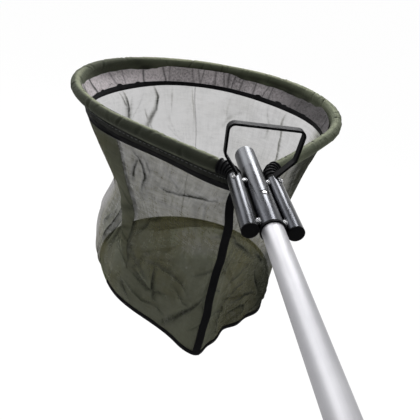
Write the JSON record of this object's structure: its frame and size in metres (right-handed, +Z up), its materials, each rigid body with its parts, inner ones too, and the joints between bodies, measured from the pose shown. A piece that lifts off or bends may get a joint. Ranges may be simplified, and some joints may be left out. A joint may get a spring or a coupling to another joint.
{
  "type": "landing net",
  "caption": "Landing net: aluminium pole in a welded three-tube head with a snap-button lock, sleeved hoop and deep flat-based mesh bag.",
  "frame": {"origin": "on the pole's axis at the rear end of the grip, where the butt cap begins", "axes": "+Y along the pole from the grip to the hoop, +Z up out of the bag's mouth, bag hanging along -Z"},
  "size_m": [0.5075, 1.403, 0.4407],
  "materials": {
    "pole_aluminium": "satin",
    "grip_foam": "matte foam",
    "black_plastic": "moulded",
    "boot_rubber": "moulded, ribbed",
    "dark_chrome": "dark bright plating",
    "weld_metal": "as welded, plated over",
    "black_enamel": "gloss black",
    "spring_steel": "bright",
    "rod_aluminium": "mill",
    "sleeve_fabric": "olive woven nylon",
    "band_mesh": "doubled fine mesh",
    "black_tape": "woven binding tape",
    "net_mesh": "fine olive mesh",
    "olive_binding": "folded olive seam"
  },
  "bodies": {
    "pole": {"pole_tube": "pole_aluminium", "pole_tip_plug": "black_plastic", "grip": "grip_foam", "butt_cap": "black_plastic"},
    "clip": {"snap_clip": "spring_steel"},
    "head": {"socket_tube": "dark_chrome", "socket_bush": "black_plastic", "side_tube_left": "dark_chrome", "side_tube_right": "dark_chrome", "tube_plug_left": "black_plastic", "tube_plug_right": "black_plastic", "weld_beads": "weld_metal", "lift_bar": "black_enamel", "rod_boot_left": "boot_rubber", "rod_boot_right": "boot_rubber", "hoop_rod": "rod_aluminium", "rim_sleeve": "sleeve_fabric", "mesh_band": "band_mesh", "rim_tape": "black_tape", "bag_wall_left": "net_mesh", "bag_wall_right": "net_mesh", "bag_base": "net_mesh", "front_seam_tape": "black_tape", "base_binding_front": "black_tape", "base_binding_rear": "olive_binding"}
  },
  "joints": [
    {"name": "button_press", "type": "slide", "parent": "pole", "child": "clip", "axis": [0, 0, -1], "range_m": [0, 0.0035], "stiffness_N_per_m": 1500, "springref_m": -0.001, "deforming": ["snap_clip"]},
    {"name": "head_slide", "type": "slide", "parent": "pole", "child": "head", "axis": [0, -1, 0], "range_m": [0, 0.45], "deforming": ["snap_clip"]}
  ]
}
